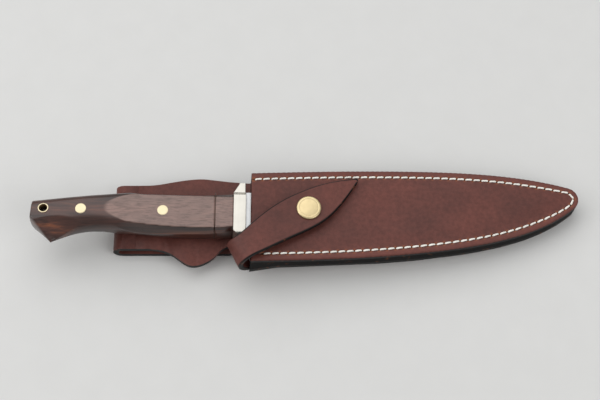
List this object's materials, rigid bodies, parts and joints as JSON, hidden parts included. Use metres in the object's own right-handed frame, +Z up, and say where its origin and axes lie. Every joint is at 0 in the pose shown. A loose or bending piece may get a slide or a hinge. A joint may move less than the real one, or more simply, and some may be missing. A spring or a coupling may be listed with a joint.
{
  "type": "sheath knife",
  "caption": "Fixed-blade knife with a wood grip and metal guard in a stitched leather sheath with a belt loop and a snapped retaining strap.",
  "frame": {"origin": "middle of the belt loop's resting face, on the surface the object lies on", "axes": "+X from the handle towards the sheath's tip, +Y towards the blade's back, +Z up from the surface"},
  "size_m": [0.3261, 0.0623, 0.035],
  "materials": {
    "leather": "oiled, semi-matte",
    "leather_edge": "burnished",
    "thread": "waxed",
    "snap_brass": "polished",
    "blade_steel": "satin",
    "guard_metal": "polished",
    "handle_wood": "polished",
    "spacer": "matte",
    "pin_brass": "polished"
  },
  "bodies": {
    "sheath": {"front_panel": "leather", "upper_welt": "leather_edge", "lower_welt": "leather_edge", "back_panel": "leather", "seam_thread": "thread", "loop_thread": "thread", "strap_bend": "leather", "snap_stud": "snap_brass", "snap_post": "snap_brass"},
    "strap": {"strap_flap": "leather", "snap_cap": "snap_brass", "snap_socket": "snap_brass"},
    "knife": {"blade": "blade_steel", "guard": "guard_metal", "handle_collar": "handle_wood", "handle_spacer": "spacer", "handle_block": "handle_wood", "front_pin": "pin_brass", "rear_pin": "pin_brass", "thong_tube": "pin_brass"}
  },
  "joints": [
    {"name": "knife_slide", "type": "slide", "parent": "sheath", "child": "knife", "axis": [-0.998, 0, 0.0637], "range_m": [0, 0.195]},
    {"name": "strap_hinge", "type": "hinge", "parent": "sheath", "child": "strap", "pos_m": [0.03706, -0.00731, 0.01916], "axis": [0.4531, -0.891, -0.0289], "range_deg": [0, 130], "deforming": ["strap_bend"]}
  ]
}
